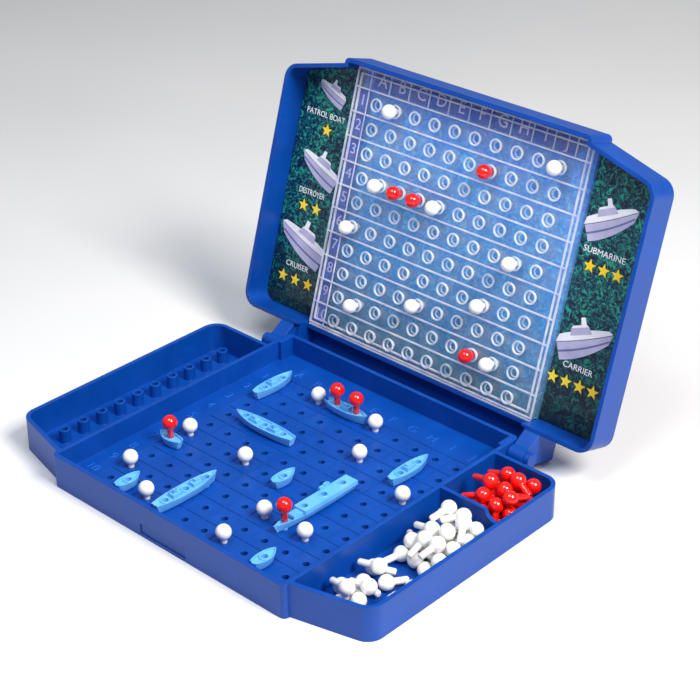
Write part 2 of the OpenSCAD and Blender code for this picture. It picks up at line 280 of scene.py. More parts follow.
# %% Helpers for print
def card_axis(tree, place, axis):
    """The distance of a place from the hinge, along one axis of the lid, in metres."""
    start = add_node(
        tree,
        "ShaderNodeVectorMath",
        {"operation": "SUBTRACT", 1: tuple(hinge["pos_m"])},
        {0: place.outputs["Object"]},
    )
    return add_node(
        tree,
        "ShaderNodeVectorMath",
        {"operation": "DOT_PRODUCT", 1: tuple(axis)},
        {0: start.outputs["Vector"]},
    ).outputs["Value"]


MIX_FACTOR, MIX_A, MIX_B, MIX_COLOUR = 0, 6, 7, 2


def blend(tree, factor, first, second, kind="MIX"):
    """The output of a node that mixes two colours. Each input is an output or a constant."""
    mix = add_node(tree, "ShaderNodeMix", {"data_type": "RGBA", "blend_type": kind})
    for index, source in ((MIX_FACTOR, factor), (MIX_A, first), (MIX_B, second)):
        if isinstance(source, (float, tuple)):
            mix.inputs[index].default_value = source
        else:
            tree.links.new(source, mix.inputs[index])
    return mix.outputs[MIX_COLOUR]


# %% [markdown]
# The dark sea is one noise through a colour ramp. The flecks are about 3 mm across. Near the
# hinge the print fades out to black.

# %% Dark sea at the sides
def dark_sea_print(tree, place):
    """The noise that makes the flecks, and the colour of the two side zones."""
    flecks = add_node(
        tree,
        "ShaderNodeTexNoise",
        {"Scale": 1 / (2.8 * MM), "Detail": 5.0, "Roughness": 0.72, "Distortion": 1.6},
        {"Vector": place.outputs["Object"]},
    ).outputs["Fac"]
    dark_sea = add_node(tree, "ShaderNodeValToRGB", links={"Fac": flecks})
    dark_stops = [(0.42, "#03112c"), (0.49, "#082c56"), (0.54, "#0b6660"), (0.61, "#27ab8c")]
    set_ramp(dark_sea, dark_stops)
    fade = add_node(
        tree,
        "ShaderNodeMapRange",
        {"From Min": 10 * MM, "From Max": 60 * MM, "To Min": 0.15, "To Max": 1.0},
        {"Value": card_axis(tree, place, lid_up)},
    )
    side = blend(tree, fade.outputs["Result"], linear("#01060c"), dark_sea.outputs["Color"])
    return flecks, side


# %% [markdown]
# The bright sea is a ramp up the card with foam laid over it. The foam's noise is stretched
# by distortion into wisps about 4 mm across.

# %% Bright sea behind the panel
def bright_sea_print(tree, place):
    climb = add_node(
        tree,
        "ShaderNodeMapRange",
        {"From Min": 12 * MM, "From Max": 140 * MM},
        {"Value": card_axis(tree, place, lid_up)},
    )
    bright_sea = add_node(tree, "ShaderNodeValToRGB", links={"Fac": climb.outputs["Result"]})
    sea_stops = [(0.0, "#0c7488"), (0.3, "#2a90c8"), (0.75, "#55a2ea"), (1.0, "#3a80e6")]
    set_ramp(bright_sea, sea_stops)
    waves = add_node(
        tree,
        "ShaderNodeTexNoise",
        {"Scale": 1 / (4 * MM), "Detail": 4.0, "Roughness": 0.65, "Distortion": 2.0},
        {"Vector": place.outputs["Object"]},
    )
    foam = add_node(tree, "ShaderNodeValToRGB", links={"Fac": waves.outputs["Fac"]})
    set_ramp(foam, [(0.4, "#6c90b4"), (0.54, "#a9bfd6"), (0.66, "#ffffff")])
    return blend(tree, 0.7, bright_sea.outputs["Color"], foam.outputs["Color"], "OVERLAY")


# %% [markdown]
# The two prints meet at the panel's sides. The varnish gives an even, soft sheen that
# the flecks disturb a little, and the board's fibres show through it as a fine tooth. Real
# fibres are finer than the 0.6 mm drawn here and would not show.

# %% Printed card
panel_low, panel_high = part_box("clear_panel")
PANEL_HALF_W = (panel_high.x - panel_low.x) / 2


def printed_card():
    material, tree, shader = new_finish("printed_varnished_card", IOR=1.5, Coat_Weight=0.25)
    place = add_node(tree, "ShaderNodeTexCoord")
    flecks, side = dark_sea_print(tree, place)
    across = card_axis(tree, place, Vector((1, 0, 0)))
    off_centre = add_node(tree, "ShaderNodeMath", {"operation": "ABSOLUTE"}, {0: across})
    is_side = add_node(
        tree,
        "ShaderNodeMath",
        {"operation": "GREATER_THAN", 1: PANEL_HALF_W},
        {0: off_centre.outputs[0]},
    )
    ink = blend(tree, is_side.outputs[0], bright_sea_print(tree, place), side)
    tree.links.new(ink, shader.inputs["Base Color"])
    sheen = add_node(
        tree, "ShaderNodeMapRange", {"To Min": 0.32, "To Max": 0.5}, {"Value": flecks}
    )
    tree.links.new(sheen.outputs["Result"], shader.inputs["Roughness"])
    fibres = add_node(
        tree,
        "ShaderNodeTexNoise",
        {"Scale": 1 / (0.6 * MM), "Detail": 2.0},
        {"Vector": place.outputs["Object"]},
    )
    bump = add_node(
        tree,
        "ShaderNodeBump",
        {"Strength": 0.2, "Distance": 0.02 * MM},
        {"Height": fibres.outputs["Fac"]},
    )
    tree.links.new(bump.outputs["Normal"], shader.inputs["Normal"])
    return material


card_finish = printed_card()
print("printed card,", round(2 * PANEL_HALF_W / MM, 1), "mm of it behind the panel")

# %% [markdown]
# The ships, words and stars are printed in solid inks. An ink film has the same soft sheen
# as the moulded plastic here and the same drift of colour, so it uses that finish with the
# board's tooth in place of the mould's grain.

# %% Inks
BOARD_TOOTH_MM = 0.625


def printed_ink(name, first, second):
    """An ink on the card: a colour that drifts a little, with the tooth of the board."""
    return moulded_polystyrene(name, [(0.35, first), (0.65, second)], 0.42, BOARD_TOOTH_MM, 0.02)


ink_white = printed_ink("ink_white", "#eceaf6", "#fdfcff")
ink_lavender = printed_ink("ink_lavender", "#a9a6cf", "#c9c6e4")
ink_slate = printed_ink("ink_slate", "#5f6590", "#777cab")
ink_yellow = printed_ink("ink_yellow", "#ffd000", "#ffe940")
ink_black = printed_ink("ink_black", "#0a0a0c", "#1a1408")
ink_navy = printed_ink("ink_navy", "#0c34a0", "#1642b4")
print("six inks")

# %% [markdown]
# The tray, lid, hinge pins, card and panel keep their CAD shapes, because their holes and
# walls are right. Real mouldings have no knife edges, though: the mould's corners are
# rounded, and the thin bright line along every rim is light caught on that rounding. The
# case's blue finish rounds its own edges in the shader, which suits a CAD mesh of long thin
# triangles better than cutting new faces would. Here the triangles are joined, then split
# only at real corners, so that curved walls shade smoothly and flat ones stay flat.

# %% Dress the CAD nodes
SAME_POINT = 0.004 * MM
CAD_CORNER = math.radians(32)


def smooth_curves(node):
    piece = nodes[node]
    for polygon in piece.data.polygons:
        polygon.use_smooth = True
    weld = piece.modifiers.new("join_triangles", "WELD")
    weld.merge_threshold = SAME_POINT
    split = piece.modifiers.new("split_corners", "EDGE_SPLIT")
    split.split_angle = CAD_CORNER
    normals = piece.modifiers.new("flat_faces", "WEIGHTED_NORMAL")
    normals.keep_sharp = True


def dress(node, material):
    piece = nodes[node]
    piece.data.materials.clear()
    piece.data.materials.append(material)


FINISH_OF = {
    "case_blue_plastic": case_finish,
    "ship_blue_plastic": ship_finish,
    "red_plastic": red_finish,
    "white_plastic": white_finish,
    "clear_styrene": panel_finish,
    "printed_card": card_finish,
}
for node in nodes:
    dress(node, FINISH_OF[slot_of[node]])
for node in ("base_tray", "lid_shell", "hinge_pin_left", "hinge_pin_right"):
    smooth_curves(node)
print(len(nodes), "CAD nodes dressed")

# %% [markdown]
# New pieces are built from points with one helper that makes the object, gives it a finish
# and lets it ride on a body of the model. A piece that is asked to be smooth is shaded smooth,
# apart from the edges where its faces meet at a sharp angle.

# %% Helpers for new pieces
SHARP_EDGE = math.radians(38)


def shade(mesh):
    """Smooth shading, apart from the sharp edges."""
    mesh.shade_smooth()
    mesh.set_sharp_from_angle(angle=SHARP_EDGE)


def add_piece(name, mesh, material, body, place=Matrix.Identity(4), smooth=True):
    piece = bpy.data.objects.new(name, mesh)
    bpy.context.scene.collection.objects.link(piece)
    piece.matrix_world = place
    if not mesh.materials:
        mesh.materials.append(material)
    if smooth:
        shade(mesh)
    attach(piece, body)
    return piece


def mesh_from(name, points, faces):
    """A mesh of these points, in metres, and faces."""
    mesh = bpy.data.meshes.new(name)
    mesh.from_pydata([tuple(p) for p in points], [], faces)
    mesh.validate()
    mesh.update()
    return mesh


def join_shapes(shapes):
    """One list of points and one of faces from several (points, faces) shapes."""
    points, faces = [], []
    for shape_points, shape_faces in shapes:
        start = len(points)
        points += [tuple(p) for p in shape_points]
        faces += [tuple(start + i for i in face) for face in shape_faces]
    return points, faces


def lathe(profile, steps=32):
    """Turns (radius, height) points about Z. A point with no radius closes the end."""
    points, rings = [], []
    for radius, height in profile:
        ring = []
        for k in range(steps if radius > 0 else 1):
            angle = 2 * math.pi * k / steps
            ring.append(len(points))
            points.append((radius * math.cos(angle), radius * math.sin(angle), height))
        rings.append(ring)
    faces = []
    for low, high in zip(rings, rings[1:]):
        for k in range(steps):
            after = (k + 1) % steps
            if len(low) == 1:
                faces.append((low[0], high[after], high[k]))
            elif len(high) == 1:
                faces.append((low[k], low[after], high[0]))
            else:
                faces.append((low[k], low[after], high[after], high[k]))
    return points, faces


# %% [markdown]
# A peg is a ball on a stem, turned here as one profile: a small chamfer at the tip, a short
# fillet where the stem meets the ball, and the ball itself. Pegs of one colour share a mesh.
# The pegs in the sea point up and the pegs in the panel point out of it, and each takes the
# place of its CAD node and rides on the same body.

# %% Pegs
PEG_REACH = 9.6
STEM = 1.5
FILLET = 0.35
BALL_STEPS = 14


def peg_profile():
    """The peg's outline about its ball's centre, from the tip of the stem to the top."""
    neck = math.acos((STEM + FILLET) / HEAD_MM)
    ball = [-neck + (neck + math.pi / 2) * k / BALL_STEPS for k in range(BALL_STEPS)]
    profile = [(0, -PEG_REACH), (STEM - 0.4, -PEG_REACH), (STEM, -PEG_REACH + 0.6)]
    profile += [(STEM, -3.7), (STEM + 0.1, -3.35)]
    profile += [(HEAD_MM * math.cos(angle), HEAD_MM * math.sin(angle)) for angle in ball]
    return [(r * MM, z * MM) for r, z in profile] + [(0, HEAD_MM * MM)]


peg_points, peg_faces = lathe(peg_profile())
peg_meshes = {
    "red_plastic": mesh_from("peg_red", peg_points, peg_faces),
    "white_plastic": mesh_from("peg_white", peg_points, peg_faces),
}
peg_meshes["red_plastic"].materials.append(red_finish)
peg_meshes["white_plastic"].materials.append(white_finish)


def turn_peg(node, place):
    slot = slot_of[node]
    piece = add_piece(f"{node}_turned", peg_meshes[slot], None, body_of[node], place)
    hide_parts(node)


point_out = lid_axes.to_3x3().to_4x4()
for node in nodes:
    low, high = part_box(node)
    if node.startswith("sea_peg"):
        turn_peg(node, Matrix.Translation((middle(node).x, middle(node).y, high.z - PEG_HEAD)))
    elif node.startswith("panel_peg"):
        head = Vector((middle(node).x, low.y + PEG_HEAD, high.z - PEG_HEAD))
        turn_peg(node, Matrix.Translation(head) @ point_out)
print("pegs in the sea and in the panel")

# %% [markdown]
# Loose pegs lie in two bins as they were poured. To heap them up without a simulation, each
# peg tries a few hundred random places and turns, falls until one of its balls touches the
# floor or an earlier peg, and keeps the place inside the walls where it comes to rest lowest.
# A peg is tested as one ball for its head and four smaller ones along its stem.

# %% Heaps of loose pegs
STEM_BALLS = [(3.4, STEM), (5.1, STEM), (6.8, STEM), (8.1, STEM)]
PEG_BALLS = [(0.0, HEAD_MM)] + STEM_BALLS
BIN_FLOOR = 2.05
PEG_GAP = 0.06
INWARDS_SHARE = 0.75
FLAT_SHARE = 0.3
FLAT_PITCH = -0.23
FAR = 99


def heap_pegs(piles, low, high, seed, tries=500):
    """Head centres, in mm, and directions of pegs that fall into a bin of this size.

    Each pile is how many pegs, its middle, its spread and how far their stems dip.
    """
    chance = np.random.default_rng(seed)
    reach = np.array([ball[0] for ball in PEG_BALLS])
    size = np.array([ball[1] for ball in PEG_BALLS])
    placed = np.zeros((0, 4))
    pegs = []
    for pile_x, pile_y, wide, deep, dip in [row[1:] for row in piles for _ in range(row[0])]:
        x = pile_x + chance.uniform(-1, 1, tries) * wide
        y = pile_y + chance.uniform(-1, 1, tries) * deep
        inwards = np.arctan2(pile_y - y, pile_x - x) + chance.normal(0, 0.8, tries)
        turns_in = chance.random(tries) < INWARDS_SHARE
        yaw = np.where(turns_in, inwards, chance.uniform(-3.2, 3.2, tries))
        lies_flat = chance.random(tries) < FLAT_SHARE
        pitch = np.where(lies_flat, FLAT_PITCH, chance.uniform(-dip, -0.1, tries))
        level = np.cos(pitch)
        way = np.stack([level * np.cos(yaw), level * np.sin(yaw), np.sin(pitch)], 1)
        balls = way[:, None, :] * reach[None, :, None]
        flat = balls[:, :, :2] + np.stack([x, y], 1)[:, None, :]
        clear = (flat - size[:, None] > low) & (flat + size[:, None] < high)
        inside = np.all(clear, axis=(1, 2))
        rest = np.max(BIN_FLOOR + size[None, :] - balls[:, :, 2], axis=1)
        for ball in placed:
            gap = (size + ball[3] + PEG_GAP) ** 2 - np.sum((flat - ball[:2]) ** 2, axis=2)
            lift = ball[2] + np.sqrt(np.maximum(gap, 0)) - balls[:, :, 2]
            rest = np.maximum(rest, np.max(np.where(gap > 0, lift, -FAR), axis=1))
        weight = rest + 0.6 * np.abs(way[:, 2]) + np.where(inside, 0, FAR)
        best = int(np.argmin(weight))
        head = np.array([x[best], y[best], rest[best]])
        pegs.append((head, way[best]))
        made = head + way[best] * reach[:, None]
        placed = np.vstack([placed, np.column_stack([made, size])])
    return pegs


def heap_mesh(name, pegs):
    """One mesh of all the pegs of a heap, each turned from straight up to its direction."""
    shapes = []
    for head, way in pegs:
        turn = Vector((0, 0, -1)).rotation_difference(Vector(way)).to_matrix()
        place = Vector(head) * MM
        shapes.append(([place + turn @ Vector(p) for p in peg_points], peg_faces))
    return mesh_from(name, *join_shapes(shapes))


# %% [markdown]
# The walls of each bin come from the pegs' CAD boxes, widened to where the walls stand. The
# red pegs make one pile in two layers, and the white ones two piles with a few pegs between.

# %% Fill the bins
tray_low, tray_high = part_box("base_tray")
tray_middle = (tray_low.y + tray_high.y) / 2 / MM
red_low, red_high = (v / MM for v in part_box("loose_red_pegs"))
white_low, white_high = (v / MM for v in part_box("loose_white_pegs"))
red_bin = ((red_low.x - 1, red_low.y), (red_high.x + 1, red_high.y))
white_bin = ((white_low.x - 3, white_low.y - 4), (white_high.x + 1, white_high.y + 2.5))
red_piles = [(11, 94, tray_middle + 40, 11, 15, 0.7), (12, 94.5, tray_middle + 39, 8, 12, 1.2)]
white_piles = [
    (14, 92, tray_middle - 3, 12, 16, 0.5),
    (2, 100, tray_middle - 32, 3, 10, 0.3),
    (8, 84, tray_middle - 42, 7, 12, 0.3),
    (11, 93.5, tray_middle - 1, 8, 11, 1.1),
]
red_heap = heap_pegs(red_piles, *red_bin, seed=5)
white_heap = heap_pegs(white_piles, *white_bin, seed=11)
for node, pegs in (("loose_red_pegs", red_heap), ("loose_white_pegs", white_heap)):
    finish = FINISH_OF[slot_of[node]]
    mesh = heap_mesh(f"{node}_heap", pegs)
    piece = add_piece(f"{node}_heap", mesh, finish, body_of[node])
    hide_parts(node)
    print(node, "rest up to", round(max(head[2] for head, _ in pegs), 1), "mm")

# %% [markdown]
# Each ship is a hull lofted from cross-sections. From keel to rim a section is a flat bottom,
# a turn of the bilge and a side that flares out, then the rim, and a deck sunk just below it.
# The half beam narrows to a point at the bow and to a rounded or square stern, and the rim
# rises towards both ends.

# %% Lofted hulls
def half_beam(t, square):
    """Half the beam as a share of the widest, from the stern at -1 to the bow at 1."""
    if t > 0:
        return (1 - t**2.2) ** 0.85
    return square + (1 - square) * (1 - (-t) ** 2.6)


HULL_SECTIONS = 36
THINNEST = 0.42


def hull_shape(length, beam, height, square, sheer=0.9):
    """A hull along X, its bow at +X, that stands on z = 0. Sections crowd at both ends."""
    points, faces = [], []
    for k in range(HULL_SECTIONS + 1):
        t = -math.cos(math.pi * k / HULL_SECTIONS)
        b = max(half_beam(t, square) * beam / 2, THINNEST)
        rim = height + sheer * (0.35 * t * t + 0.65 * max(t, 0) ** 2)
        top, low = t * length / 2, t * (length / 2 - 1.3 - 0.5 * max(t, 0))
        wide = max(b - 0.75, 0.1)
        side = [
            (low, 0.62 * b, 0.0),
            (low * 0.7 + top * 0.3, 0.84 * b, 0.34 * height),
            (top * 0.97 + low * 0.03, 0.97 * b, rim - 0.5),
            (top, b, rim),
            (top * 0.985, max(b - 0.5, 0.2), rim),
            (top * 0.95, wide, rim - 0.9),
        ]
        ring = [(x, -y, z) for x, y, z in reversed(side)] + side
        points += [(x * MM, y * MM, z * MM) for x, y, z in ring]
    around = len(ring)
    for k in range(HULL_SECTIONS):
        for j in range(around):
            here, after = k * around + j, k * around + (j + 1) % around
            faces.append((here, after, after + around, here + around))
    faces.append(tuple(range(around - 1, -1, -1)))
    last = HULL_SECTIONS * around
    faces.append(tuple(last + j for j in range(around)))
    return points, faces


# %% [markdown]
# Decks, cabins and bridges are low blocks that narrow a little towards the top, as a moulded
# block must to leave its mould. Funnels are turned, and so are the collars round the holes.

# %% What stands on the hulls
def box_shape(x, y, z, length, width, height, taper=0.0):
    """A block that stands on z, narrower at the top by taper on each side."""
    points = []
    for top in (0, 1):
        dx, dy = length / 2 - top * taper, width / 2 - top * taper
        corners = ((-dx, -dy), (dx, -dy), (dx, dy), (-dx, dy))
        points += [((x + a) * MM, (y + b) * MM, (z + top * height) * MM) for a, b in corners]
    faces = [(3, 2, 1, 0), (4, 5, 6, 7)]
    faces += [(k, (k + 1) % 4, (k + 1) % 4 + 4, k + 4) for k in range(4)]
    return points, faces


def funnel_shape(x, y, z, radius, height):
    """A tapering funnel with a sunk top."""
    profile = [(0, z), (radius, z), (radius * 0.9, z + height), (radius * 0.6, z + height)]
    profile += [(radius * 0.6, z + height - 0.4), (0, z + height - 0.4)]
    points, faces = lathe([(r * MM, h * MM) for r, h in profile], 20)
    return [(px + x * MM, py + y * MM, pz) for px, py, pz in points], faces


COLLAR = 2.3


def socket_collars(length, beam, square, low, tops):
    """A low raised collar round each peg hole, as wide as the hull allows at that place."""
    collars = []
    for k, top in enumerate(tops):
        place = (k - (len(tops) - 1) / 2) * PITCH
        t = place / MM / (length / 2)
        radius = min(COLLAR, 0.8 * half_beam(t, square) * beam / 2)
        profile = [(0, low), (radius, low), (radius, top - 0.15), (radius - 0.15, top), (0, top)]
        points, faces = lathe([(r * MM, z * MM) for r, z in profile], 28)
        collars.append(([(x + place, y, z) for x, y, z in points], faces))
    return collars


# %% [markdown]
# There are four kinds of ship. Each is its hull's length and beam, its blocks and funnels, and
# a collar for each cell. All sizes are in millimetres, about the middle of the ship.

# %% Four kinds of ship
DECK = 5.0
RIM = DECK - 0.8


def boat_parts():
    size, square = (13.4, 6.4), 0.5
    return [hull_shape(*size, RIM, square)] + socket_collars(*size, square, 3.0, [4.0])


def destroyer_parts():
    size, square = (25.4, 7.0), 0.45
    return [
        hull_shape(*size, RIM, square),
        box_shape(-0.2, 0, 3.0, 5.2, 3.4, 2.3, 0.3),
        box_shape(-0.6, 0, 5.2, 2.8, 2.0, 1.0, 0.2),
    ] + socket_collars(*size, square, 3.0, [4.1, 4.1])


def cruiser_parts():
    size, square = (36.6, 7.8), 0.5
    return [
        hull_shape(*size, RIM, square),
        box_shape(-6, 0, 3.0, 5.6, 3.8, 2.1, 0.3),
        box_shape(6, 0, 3.0, 5.6, 3.6, 2.1, 0.3),
        box_shape(6.2, 0, 5.0, 2.8, 2.2, 1.3, 0.2),
        funnel_shape(-6.4, 0, 5.0, 1.05, 1.9),
    ] + socket_collars(*size, square, 3.0, [4.1, 4.1, 4.3])


def carrier_parts():
    size, square = (49.0, 7.4), 0.75
    return [
        hull_shape(*size, DECK - 1.6, square, 0.5),
        box_shape(-7.5, 0, 3.2, 33.0, 7.4, 2.0, 0.25),
        box_shape(11.6, 0, 3.2, 5.6, 4.6, 1.2, 0.25),
        box_shape(-9.5, -3.05, 5.1, 6.4, 1.2, 1.9, 0.15),
        box_shape(-10.2, -3.05, 6.9, 2.6, 0.9, 0.8, 0.1),
    ] + socket_collars(*size, square, 2.4, [5.4, 5.4, 5.4, 3.9])


# %% [markdown]
# Each cell of a ship takes a peg. The holes are cut with one Boolean modifier that is then
# applied, so that the ship keeps real holes wherever its mesh goes. A ship stands on the sea
# by one or two pins that reach into the sea's own holes.

# %% Peg holes and pins
HOLE = 1.55
HOLE_FLOOR = 1.6
ABOVE_SHIPS = 9


def cut_holes(piece, cells):
    """Cuts a peg hole over each cell of a ship."""
    low, high, radius = HOLE_FLOOR * MM, ABOVE_SHIPS * MM, HOLE * MM
    drills = []
    for k in range(cells):
        x = (k - (cells - 1) / 2) * PITCH
        points, faces = lathe([(0, low), (radius, low), (radius, high), (0, high)], 28)
        drills.append(([(px + x, py, pz) for px, py, pz in points], faces))
    cutter = bpy.data.objects.new("drill", mesh_from("drill", *join_shapes(drills)))
    bpy.context.scene.collection.objects.link(cutter)
    cutter.matrix_world = piece.matrix_world
    cut = piece.modifiers.new("peg_holes", "BOOLEAN")
    cut.object = cutter
    cut.solver = "EXACT"
    cut.use_self = True
    bpy.context.view_layer.update()
    drilled = piece.evaluated_get(bpy.context.evaluated_depsgraph_get())
    shaped = bpy.data.meshes.new_from_object(drilled)
    piece.modifiers.clear()
    piece.data = shaped
    bpy.data.objects.remove(cutter)


def ship_pins(cells):
    """A pin under each end of a ship, or one under its only cell."""
    pins = [0] if cells == 1 else [-(cells - 1) / 2, (cells - 1) / 2]
    profile = [(0, -4), (1.2, -4), (1.4, -3.6), (1.4, 0.3), (0, 0.3)]
    shapes = []
    for k in pins:
        points, faces = lathe([(r * MM, z * MM) for r, z in profile], 20)
        shapes.append(([(x + k * PITCH, y, z) for x, y, z in points], faces))
    return shapes


# %% [markdown]
# The fleet is set out as in the middle of a game. Each row is the CAD node, how many cells
# the ship covers, the column and row of its middle, and where its bow points.

# %% Set out the fleet
SHIP_LIFT = 0.4 * MM
MAKERS = {1: boat_parts, 2: destroyer_parts, 3: cruiser_parts, 4: carrier_parts}
FLEET = [
    ("carrier", 4, (8, 6.5), -90),
    ("cruiser_left", 3, (3, 4), 180),
    ("cruiser_front", 3, (4, 9), 90),
    ("destroyer_left", 2, (1, 1.5), 90),
    ("destroyer_back", 2, (4.5, 1), 0),
    ("destroyer_right", 2, (9, 2.5), 90),
    ("boat_left", 1, (1, 7), 180),
    ("boat_front_left", 1, (2, 10), 90),
    ("boat_middle", 1, (6, 6), 90),
    ("boat_front_right", 1, (9, 10), 90),
]
for node, cells, at, heading in FLEET:
    place = Matrix.Translation(hole(*at) + Vector((0, 0, SHIP_LIFT)))
    place = place @ Matrix.Rotation(math.radians(heading), 4, "Z")
    mesh = mesh_from(f"{node}_hull", *join_shapes(MAKERS[cells]() + ship_pins(cells)))
    body, slot = body_of[node], slot_of[node]
    piece = add_piece(f"{node}_hull", mesh, ship_finish, body, place, smooth=False)
    cut_holes(piece, cells)
    shade(piece.data)
    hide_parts(node)
print(len(FLEET), "ships lofted")

# %% [markdown]
# The letters and numbers stand up from the mould as low raised figures: numbers down the left of the grid and
# letters along the back. They are set with the built-in font and made into meshes that stand about 0.4 mm above
# the sea, as if moulded with the tray. They are the tray's own plastic, so their lighter blue is painted highlight
# for the light that catches their raised faces.

# %% Raised letters and numbers
def character_shape(text, size_mm, depth_mm, bevel_mm=0.0):
    """The mesh of one raised character about its middle, facing up."""
    curve = bpy.data.curves.new("character", "FONT")
    curve.body = text
    curve.size = size_mm * MM
    curve.align_x, curve.align_y = "CENTER", "CENTER"
    curve.extrude = depth_mm * MM
    curve.bevel_depth = bevel_mm * MM
    curve.offset = -bevel_mm * MM
    curve.resolution_u = 4
    shown = bpy.data.objects.new("character", curve)
    bpy.context.scene.collection.objects.link(shown)
    bpy.context.view_layer.update()
    mesh = shown.evaluated_get(bpy.context.evaluated_depsgraph_get()).to_mesh()
    points = [tuple(v.co) for v in mesh.vertices]
    faces = [tuple(p.vertices) for p in mesh.polygons]
    bpy.data.objects.remove(shown)
    bpy.data.curves.remove(curve)
    return points, faces


def moved_shape(shape, x, y, z=0.0):
    points, faces = shape
    return [(px + x, py + y, pz + z) for px, py, pz in points], faces


LETTERS = "ABCDEFGHIJ"
FIGURE = {"size_mm": 7.0, "depth_mm": 0.2, "bevel_mm": 0.08}
FIGURE_Z = SEA_Z + 0.1 * MM
figures = []
for k in range(ROWS):
    for text, at in ((str(k + 1), hole(0, k + 1)), (LETTERS[k], hole(k + 1, 0))):
        figures.append(moved_shape(character_shape(text, **FIGURE), at.x, at.y, FIGURE_Z))
tray_figures = mesh_from("tray_figures", *join_shapes(figures))
add_piece("tray_figures", tray_figures, figure_highlight_finish, "tray")
print(len(figures), "raised figures")

# %% [markdown]
# On the clear panel, light gathers wherever the plastic turns: round the lip of every socket,
# along the ridges, and round the outer walls. Thin bars and rings of a denser clear finish
# stand for that gathered light. They are built in the lid's axes, in millimetres.

# %% Rings and bars
def ring_shape(x, y, z, radius, thick, steps=28, around=8):
    points, faces = [], []
    for k in range(steps):
        a = 2 * math.pi * k / steps
        for j in range(around):
            b = 2 * math.pi * j / around
            r = radius + thick * math.cos(b)
            points.append((x + r * math.cos(a), y + r * math.sin(a), z + thick * math.sin(b)))
    for k in range(steps):
        here, there = k * around, (k + 1) % steps * around
        for j in range(around):
            after = (j + 1) % around
            faces.append((here + j, there + j, there + after, here + after))
    return points, faces


def bar_shape(x0, x1, y0, y1, z0, z1):
    """A straight bar between two corners, in mm, with its front edges taken off."""
    centre = ((x0 + x1) / 2, (y0 + y1) / 2, z0)
    return box_shape(*centre, x1 - x0, y1 - y0, z1 - z0, 0.08)


# %% [markdown]
# The sockets get two rings each, a wide one round the lip and a narrow one at the foot of the
# bore. Ridges run between all rows. Those between the columns only part the header's cells,
# apart from the first, which runs down beside the numbers.

# %% Bright edges of the clear panel
PITCH_MM = PITCH / MM
RING_FACE = -13.2
ROW_TEN = 17.8
PANEL_LOW, PANEL_TOP = 12.6, 141.3
HEADER_LOW = ROW_TEN + (ROWS - 0.5) * PITCH_MM
LIP = (2.9 * MM, 0.52 * MM)
FOOT = (2.05 * MM, 0.4 * MM)
FOOT_DEPTH = 2
COLUMN_RIDGE, ROW_RIDGE = 0.25, 0.42
WALL, WALL_EDGE = 2.4, 0.8
half_w = PANEL_HALF_W / MM


def panel_hole(column, row):
    """A socket of the panel in the lid's axes, in mm. Row 10 is next to the hinge."""
    return (column - 5.5) * PITCH_MM, ROW_TEN + (ROWS - row) * PITCH_MM


rings, edges = [], []
for column in range(1, ROWS + 1):
    for row in range(1, ROWS + 1):
        x, y = (v * MM for v in panel_hole(column, row))
        rings.append(ring_shape(x, y, (RING_FACE - 0.1) * MM, *LIP))
        rings.append(ring_shape(x, y, (RING_FACE - FOOT_DEPTH) * MM, *FOOT, 20, 6))
ridge = (RING_FACE - 0.8, RING_FACE - 0.2)
for k in range(ROWS + 1):
    x = (k - 5) * PITCH_MM
    y = ROW_TEN + (k - 0.5) * PITCH_MM
    low = PANEL_LOW if k == 0 else HEADER_LOW
    edges.append(bar_shape(x - COLUMN_RIDGE, x + COLUMN_RIDGE, low, PANEL_TOP, *ridge))
    edges.append(bar_shape(-half_w, half_w, y - ROW_RIDGE, y + ROW_RIDGE, *ridge))
for inset, rise in ((0.0, 0.0), (WALL, 0.1)):
    x, low, top = half_w - inset, PANEL_LOW + inset, PANEL_TOP - inset
    front = (RING_FACE - 0.9, RING_FACE - 0.1 + rise)
    edges.append(bar_shape(-x, -x + WALL_EDGE, low, top, *front))
    edges.append(bar_shape(x - WALL_EDGE, x, low, top, *front))
    edges.append(bar_shape(-x, x, low, low + WALL_EDGE, *front))
    edges.append(bar_shape(-x, x, top - WALL_EDGE, top, *front))
ring_mesh = mesh_from("panel_ring_edges", *join_shapes(rings))
add_piece("panel_ring_edges", ring_mesh, ring_finish, "lid", LID)
panel_edges = mesh_from("panel_edges", *join_shapes(edges))
add_piece("panel_edges", panel_edges, edge_finish, "lid", LID)
print(len(rings), "bright rings and", len(edges), "bright edges")

# %% [markdown]
# The print is cut from flat shapes a tenth of a millimetre thick, laid on each other in
# layers as inks are. Outlines are drawn in the lid's axes, in millimetres, and the small
# ships' outlines are drawn one unit long first, so that one set of them serves every size.

# %% Shapes for print
CARD_FACE = -19.5
LAYER = 0.1


def flat_shape(outline, layer):
    """A thin plate of this outline, in mm, on the given layer of print."""
    low, high = CARD_FACE + LAYER * layer, CARD_FACE + LAYER * layer + LAYER
    n = len(outline)
    points = [(x * MM, y * MM, z * MM) for z in (low, high) for x, y in outline]
    faces = [tuple(range(n - 1, -1, -1)), tuple(range(n, 2 * n))]
    faces += [(k, (k + 1) % n, (k + 1) % n + n, k + n) for k in range(n)]
    return points, faces


def star_outline(x, y, radius):
    """A star with five points, and its inner corners at 0.42 of the radius."""
    corners = []
    for k in range(10):
        r = radius if k % 2 == 0 else radius * 0.42
        angle = math.pi / 2 + k * math.pi / 5
        corners.append((x + r * math.cos(angle), y + r * math.sin(angle)))
    return corners


def box_outline(x, y, width, height):
    a, b = width / 2, height / 2
    return [(x - a, y - b), (x + a, y - b), (x + a, y + b), (x - a, y + b)]


def placed_outline(outline, x, y, length, turn, flip=1):
    """An outline drawn one unit long, set on the card at its size and turn."""
    c, s = math.cos(math.radians(turn)) * length, math.sin(math.radians(turn)) * length
    return [(x + flip * a * c - b * s, y + flip * a * s + b * c) for a, b in outline]


